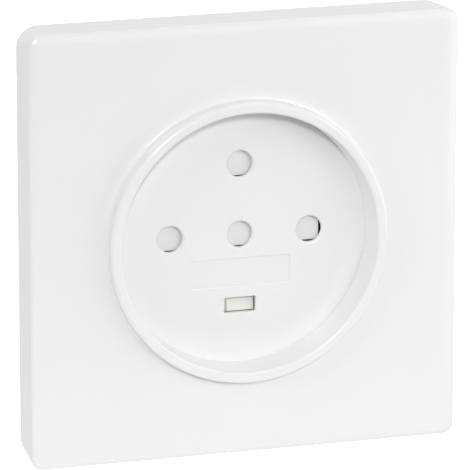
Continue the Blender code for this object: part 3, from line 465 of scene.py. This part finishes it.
def uneven_gloss(tree, pattern, shader, roughness, spread):
    """A roughness that a pattern moves by the spread to both sides."""
    low, high = roughness - spread, roughness + spread
    gloss = add_node(tree, "ShaderNodeMapRange", To_Min=low, To_Max=high)
    tree.links.new(pattern.outputs["Fac"], gloss.inputs["Value"])
    tree.links.new(gloss.outputs["Result"], shader.inputs["Roughness"])


def fine_relief(tree, pattern, shader, strength, height):
    """A shallow relief in the surface's normal, from a pattern."""
    relief = add_node(tree, "ShaderNodeBump", Strength=strength, Distance=height)
    tree.links.new(pattern.outputs["Fac"], relief.inputs["Height"])
    tree.links.new(relief.outputs["Normal"], shader.inputs["Normal"])


def moulded_plastic(name, colour, roughness):
    """Moulded plastic: a faint cloudiness in the colour, a slightly uneven gloss and a very fine
    grain from the mould."""
    material, tree, shader, place = new_finish(name)
    shader.inputs["IOR"].default_value = 1.5
    cloud = noise(tree, place, Scale=60.0, Detail=3.0)
    two_tone(tree, cloud, shader, *shades(colour, 0.988, 1.012))
    uneven_gloss(tree, cloud, shader, roughness, spread=0.03)
    grain = noise(tree, place, Scale=2600.0, Detail=2.0)
    fine_relief(tree, grain, shader, strength=0.05, height=0.02 * MM)
    return material


white_plastic = moulded_plastic("white_plastic", WHITE, roughness=0.22)
plate_mesh = closed_mesh("plate_and_collar", [plate_skin(), plate_ribs(), snap_legs()])
plate = make_piece(
    "plate_and_collar", plate_mesh, "housing", "white_moulding", white_plastic, "front_plate"
)
shaded(plate)

# Well cover: the white disc at the bottom of the well, moulded with a rim that stands on the steel
# frame and two ears for screws. Its four round holes and its flat slot have lightly rounded edges,
# and a shallow bare label recess lies above the slot.
cover_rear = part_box("well_cover")[1].y
COVER_WALL = 1.6 * MM
COVER_EDGE = 0.3 * MM
FLOOR_THICKNESS = 0.9 * MM
PIN_CIRCLE = 13.1 * MM
HOLE_RADIUS = 2.43 * MM
HOLE_EDGE = 0.48 * MM
SLOT_HALF_WIDTH = 3.0 * MM
SLOT_HALF_HEIGHT = 1.45 * MM
SLOT_CORNER = 0.25 * MM
SLOT_EDGE = 0.12 * MM
LABEL_HALF_WIDTH = 9.5 * MM
LABEL_HALF_HEIGHT = 2.6 * MM
LABEL_CORNER = 0.4 * MM
LABEL_EDGE = 0.14 * MM
LABEL_DROP = 7.0 * MM
LABEL_DEPTH = 0.3 * MM
EAR_RADIUS = 29.0 * MM
EAR_HALF_WIDTH = 3.2 * MM
EAR_BORE = 1.7 * MM
EAR_THICKNESS = 1.9 * MM
EAR_LIFT = 0.05 * MM
EAR_ANGLES = (45.0, 225.0)
COVER_STEPS = 192
COVER_EDGE_STEPS = 4
HOLE_STEPS = 64
HOLE_EDGE_STEPS = 4
OPENING_CORNER_STEPS = 5
OPENING_EDGE_STEPS = 3
EAR_STEPS = 24
BORE_STEPS = 32


def circle_outline(centre, radius, steps):
    """Points across and up on a circle, in even steps."""
    return on_circle(centre, radius, np.linspace(0, 2 * np.pi, steps, endpoint=False))


def block_outline(centre, half_width, half_height, corner):
    """Points across and up on a rectangle with rounded corners, each corner a quarter circle."""
    bend = np.linspace(0, np.pi / 2, OPENING_CORNER_STEPS + 1)
    turns = np.arange(4)[:, None] * np.pi / 2
    side_x = np.array([1, -1, -1, 1])[:, None] * (half_width - corner)
    side_y = np.array([1, 1, -1, -1])[:, None] * (half_height - corner)
    x = centre[0] + side_x + corner * np.cos(bend + turns)
    y = centre[1] + side_y + corner * np.sin(bend + turns)
    return np.stack([x.ravel(), y.ravel()], axis=-1)


def ear_outlines(angle):
    """A tongue with a round end that points outwards at an angle, and the circle of its bore."""
    root = np.array([[COLLAR_RADIUS - COVER_WALL / 2, -EAR_HALF_WIDTH]])
    tip = arc((EAR_RADIUS, 0.0), EAR_HALF_WIDTH, -90, 90, EAR_STEPS)
    tongue = np.concatenate([root, tip, root * [1, -1]])
    bore = circle_outline((EAR_RADIUS, 0.0), EAR_BORE, BORE_STEPS)
    turn = math.radians(angle)
    turned = np.array([[math.cos(turn), math.sin(turn)], [-math.sin(turn), math.cos(turn)]])
    return tongue @ turned, bore @ turned


def flat_face(name, outlines, out):
    """A flat face between an outline and its holes, at one distance out of the wall."""
    points = np.concatenate(outlines)
    triangles = tessellate_polygon([[Vector((x, y, 0.0)) for x, y in loop] for loop in outlines])
    mesh = bpy.data.meshes.new(name)
    placed = on_wall(points[:, 0], points[:, 1], out)
    mesh.from_pydata(placed.tolist(), [], [list(triangle) for triangle in triangles])
    return mesh


def wall_strip(name, outlines, outs):
    """The wall that joins a row of outlines with equally many points, each at its own height."""
    points = [on_wall(outline[:, 0], outline[:, 1], out) for outline, out in zip(outlines, outs)]
    return grid_mesh(name, np.stack(points), closed_columns=True)


def cover_mesh():
    """The disc from its front face, the rounded edges of its openings, their walls, its back face
    and its rim, with the two ears."""
    floor_back = FLOOR_HEIGHT - FLOOR_THICKNESS
    foot = wall_y - cover_rear
    front, back, parts = [], [], []

    edge_centre = (COLLAR_RADIUS - COVER_EDGE, FLOOR_HEIGHT - COVER_EDGE)
    bend = arc(edge_centre, COVER_EDGE, 90, 0, COVER_EDGE_STEPS)
    radii = [*bend[:, 0], COLLAR_RADIUS, COLLAR_RADIUS - COVER_WALL, COLLAR_RADIUS - COVER_WALL]
    rim = [circle_outline((0, 0), radius, COVER_STEPS) for radius in radii]
    parts.append(wall_strip("rim", rim, [*bend[:, 1], foot, foot, floor_back]))
    front.append(rim[0])
    back.append(rim[-1])

    edge_centre = (HOLE_RADIUS + HOLE_EDGE, FLOOR_HEIGHT - HOLE_EDGE)
    bend = arc(edge_centre, HOLE_EDGE, 90, 180, HOLE_EDGE_STEPS)
    for place in ((0.0, 0.0), (-PIN_CIRCLE, 0.0), (PIN_CIRCLE, 0.0), (0.0, PIN_CIRCLE)):
        radii = [*bend[:, 0], HOLE_RADIUS]
        sides = [circle_outline(place, radius, HOLE_STEPS) for radius in radii]
        parts.append(wall_strip("hole", sides, [*bend[:, 1], floor_back]))
        front.append(sides[0])
        back.append(sides[-1])

    label_back = FLOOR_HEIGHT - LABEL_DEPTH
    slot = (-PIN_CIRCLE, SLOT_HALF_WIDTH, SLOT_HALF_HEIGHT, SLOT_CORNER, SLOT_EDGE, floor_back)
    label = (-LABEL_DROP, LABEL_HALF_WIDTH, LABEL_HALF_HEIGHT, LABEL_CORNER, LABEL_EDGE, label_back)
    for height, half_width, half_height, corner, edge, bottom in (slot, label):
        bend = arc((edge, FLOOR_HEIGHT - edge), edge, 90, 180, OPENING_EDGE_STEPS)
        sides = [
            block_outline((0.0, height), half_width + wider, half_height + wider, corner + wider)
            for wider in (*bend[:, 0], 0.0)
        ]
        parts.append(wall_strip("opening", sides, [*bend[:, 1], bottom]))
        front.append(sides[0])
        if bottom == floor_back:
            back.append(sides[-1])
        else:
            parts.append(flat_face("label_floor", [sides[-1]], bottom))
    parts.append(flat_face("front", front, FLOOR_HEIGHT))
    parts.append(flat_face("back", back, floor_back))

    ear_back = foot + EAR_LIFT
    ear_outs = [ear_back, ear_back + EAR_THICKNESS]
    for angle in EAR_ANGLES:
        outlines = ear_outlines(angle)
        parts += [wall_strip("ear_wall", [outline, outline], ear_outs) for outline in outlines]
        parts += [flat_face("ear", outlines, out) for out in ear_outs]
    return closed_mesh("cover_disc", parts)


cover = make_piece(
    "cover_disc", cover_mesh(), "housing", "white_moulding", white_plastic, "well_cover"
)
shaded(cover)

# Shutter slide: the white moulding just behind the holes. A plug's pins press on its sloping pads
# and push it sideways, until its windows lie behind the holes.
# The slide's colour is darker than the plate's white: painted shade for its pads, which are seen only
# through the holes.
SLIDE_WHITE_WITH_PAINTED_SHADE = (0.845, 0.845, 0.845)
NODE_WELD_DISTANCE = 0.002 * MM
FLAT_ANGLE = 0.5
BEVELLED_ANGLE = 35.0


def refined(name, node, body, slot, material, edge):
    """A moulded or stamped solid in a CAD node's place: the node's triangles joined into flat
    faces, and every sharp edge broken by a small round bevel."""
    shape = bmesh.new()
    shape.from_mesh(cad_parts[node].data)
    bmesh.ops.remove_doubles(shape, verts=shape.verts, dist=NODE_WELD_DISTANCE)
    bmesh.ops.dissolve_limit(
        shape, angle_limit=math.radians(FLAT_ANGLE), verts=shape.verts, edges=shape.edges
    )
    mesh = bpy.data.meshes.new(name)
    shape.to_mesh(mesh)
    shape.free()
    piece = make_piece(name, mesh, body, slot, material, node)
    bevel = piece.modifiers.new("broken_edges", "BEVEL")
    bevel.width = edge
    bevel.segments = 2
    bevel.limit_method = "ANGLE"
    bevel.angle_limit = math.radians(BEVELLED_ANGLE)
    return shaded(piece)


slide_plastic = moulded_plastic("slide_plastic", SLIDE_WHITE_WITH_PAINTED_SHADE, roughness=0.42)
refined("pad_slide", "shutter_slide", "shutter", "white_moulding", slide_plastic, edge=0.10 * MM)

# Earth shutter: the small ivory block that fills the flat slot, held in a pocket of the slide by a
# flange on its back.
IVORY = (0.88, 0.87, 0.82)
ivory_plastic = moulded_plastic("ivory_plastic", IVORY, roughness=0.42)
refined("ivory_block", "earth_shutter", "shutter", "ivory_moulding", ivory_plastic, edge=0.15 * MM)

# Shutter spring: a small compression spring of drawn steel wire, with closed ends, between a stop
# on the contact retainer and the slide. It is built at its rest length, though on the socket it
# shortens as the slide moves to the left.
spring_low, spring_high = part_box("shutter_spring")
SPRING_RADIUS = 1.1 * MM
WIRE_RADIUS = 0.175 * MM
SPRING_TURNS = 8
TURN_STEPS = 32
WIRE_STEPS = 12


def coiled_wire(name):
    """A tube round a helix along the wall. The helix turns evenly, and its first and last turn
    advance by one wire's width only. Each section is a circle in the plane of the helix's radius
    and its axis, and shrinks to a point at both ends, which closes the tube."""
    share = np.linspace(0, 1, SPRING_TURNS * TURN_STEPS + 1)
    start, end = spring_high.x - WIRE_RADIUS, spring_low.x + WIRE_RADIUS
    closed = 2 * WIRE_RADIUS / (start - end)
    stops = [0, 1 / SPRING_TURNS, 1 - 1 / SPRING_TURNS, 1]
    along = start + (end - start) * np.interp(share, stops, [0, closed, 1 - closed, 1])
    turn = 2 * np.pi * SPRING_TURNS * share
    along, turn = (np.concatenate([row[:1], row, row[-1:]])[:, None] for row in (along, turn))
    wire = np.full(along.shape, WIRE_RADIUS)
    wire[[0, -1]] = 0.0
    section = np.linspace(0, 2 * np.pi, WIRE_STEPS, endpoint=False)[None, :]
    radius = SPRING_RADIUS + wire * np.cos(section)
    up = (spring_low.z + spring_high.z) / 2 + radius * np.cos(turn)
    out = wall_y - (spring_low.y + spring_high.y) / 2 + radius * np.sin(turn)
    points = on_wall(along + wire * np.sin(section), up, out)
    return closed_mesh(name, [grid_mesh(name, points, closed_columns=True)])


def worked_metal(name, dark, light, roughness, scale, stretch):
    """Metal that was drawn, pressed or plated: cloudy tones, and fine streaks in its gloss and
    relief that run along the direction with the smallest stretch."""
    material, tree, shader, place = new_finish(name)
    shader.inputs["Metallic"].default_value = 1.0
    cloud = noise(tree, place, Scale=scale, Detail=4.0)
    two_tone(tree, cloud, shader, dark, light)
    drawn = add_node(tree, "ShaderNodeMapping", Scale=stretch)
    tree.links.new(place, drawn.inputs["Vector"])
    streaks = noise(tree, drawn.outputs["Vector"], Scale=900.0, Detail=3.0)
    uneven_gloss(tree, streaks, shader, roughness, spread=0.08)
    fine_relief(tree, streaks, shader, strength=0.15, height=0.01 * MM)
    return material


spring_steel = worked_metal(
    "spring_steel",
    dark=(0.42, 0.42, 0.44),
    light=(0.56, 0.56, 0.58),
    roughness=0.30,
    scale=300.0,
    stretch=(0.1, 1.0, 1.0),
)
spring = make_piece(
    "spring_coil", coiled_wire("spring_coil"), "housing", "spring_steel", spring_steel, "shutter_spring"
)
spring.data.shade_smooth()
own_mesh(spring)

# Contact retainer: a disc in dark insulating plastic that keeps the contacts in their pockets, with
# rails and stops on its front that guide the slide.
DARK_GREY = (0.055, 0.058, 0.062)


def filled_plastic(name, colour, roughness):
    """Pressed insulating plastic with a filler: fine pale flecks, a dull uneven gloss and a soft
    grain."""
    material, tree, shader, place = new_finish(name)
    shader.inputs["IOR"].default_value = 1.52
    flecks = noise(tree, place, Scale=1800.0, Detail=2.0, Roughness=0.7)
    two_tone(tree, flecks, shader, *shades(colour, 0.70, 1.40))
    cloud = noise(tree, place, Scale=140.0, Detail=4.0)
    uneven_gloss(tree, cloud, shader, roughness, spread=0.08)
    fine_relief(tree, flecks, shader, strength=0.12, height=0.02 * MM)
    return material


dark_plastic = filled_plastic("dark_plastic", DARK_GREY, roughness=0.48)
refined("retainer_disc", "contact_retainer", "housing", "dark_moulding", dark_plastic, edge=0.12 * MM)

# Support frame: pressed and zinc-plated sheet steel with four fixing slots for the screws of a wall
# box, and four upright lugs whose windows catch the plate's legs.
zinced_steel = worked_metal(
    "zinced_steel",
    dark=(0.55, 0.56, 0.58),
    light=(0.68, 0.69, 0.70),
    roughness=0.34,
    scale=160.0,
    stretch=(1.0, 1.0, 0.06),
)
refined("steel_frame", "support_frame", "housing", "zinced_steel", zinced_steel, edge=0.15 * MM)

# Contact base: the deep insulating body behind the frame, pressed in the same dark plastic, with a
# pocket for each contact and clamp, five wire entries in its side and five screw wells in its back.
refined("base_body", "contact_base", "housing", "dark_moulding", dark_plastic, edge=0.20 * MM)

# Contacts: four slit brass sleeves for the round pins and a brass hairpin for the flat earth pin,
# each with a flat tail that runs into its clamp.
stamped_brass = worked_metal(
    "stamped_brass",
    dark=(0.66, 0.47, 0.19),
    light=(0.78, 0.58, 0.27),
    roughness=0.28,
    scale=220.0,
    stretch=(1.0, 0.08, 1.0),
)
POLES = ("phase_1", "phase_2", "phase_3", "neutral", "earth")
for pole in POLES:
    kind = "hairpin" if pole == "earth" else "sleeve"
    refined(f"{kind}_{pole}", f"contact_{pole}", "housing", "brass", stamped_brass, edge=0.08 * MM)

# Grip rings: bands of spring steel, bent from strip, that sit round the sleeves and the hairpin and
# press them onto the pins of a plug.
for pole in POLES:
    refined(f"band_{pole}", f"grip_ring_{pole}", "housing", "spring_steel", spring_steel, edge=0.06 * MM)

# Clamps: brass cages round the contacts' tails, open towards the wire entries in the base's side. In
# each, a screw presses the wire against the tail.
for pole in POLES:
    refined(f"cage_{pole}", f"clamp_{pole}", "housing", "brass", stamped_brass, edge=0.10 * MM)

# Clamp screws: cheese-head screws in plated steel, one through each cage, which are turned from
# behind through the base's wells.
for pole in POLES:
    screw = f"wire_screw_{pole}"
    refined(screw, f"clamp_screw_{pole}", "housing", "zinced_steel", zinced_steel, edge=0.08 * MM)

# Assembly screws: two plated steel screws that go through the cover's ears and the steel frame, and
# hold both to the base.
for number in (1, 2):
    screw = f"ear_screw_{number}"
    node = f"assembly_screw_{number}"
    refined(screw, node, "housing", "zinced_steel", zinced_steel, edge=0.08 * MM)
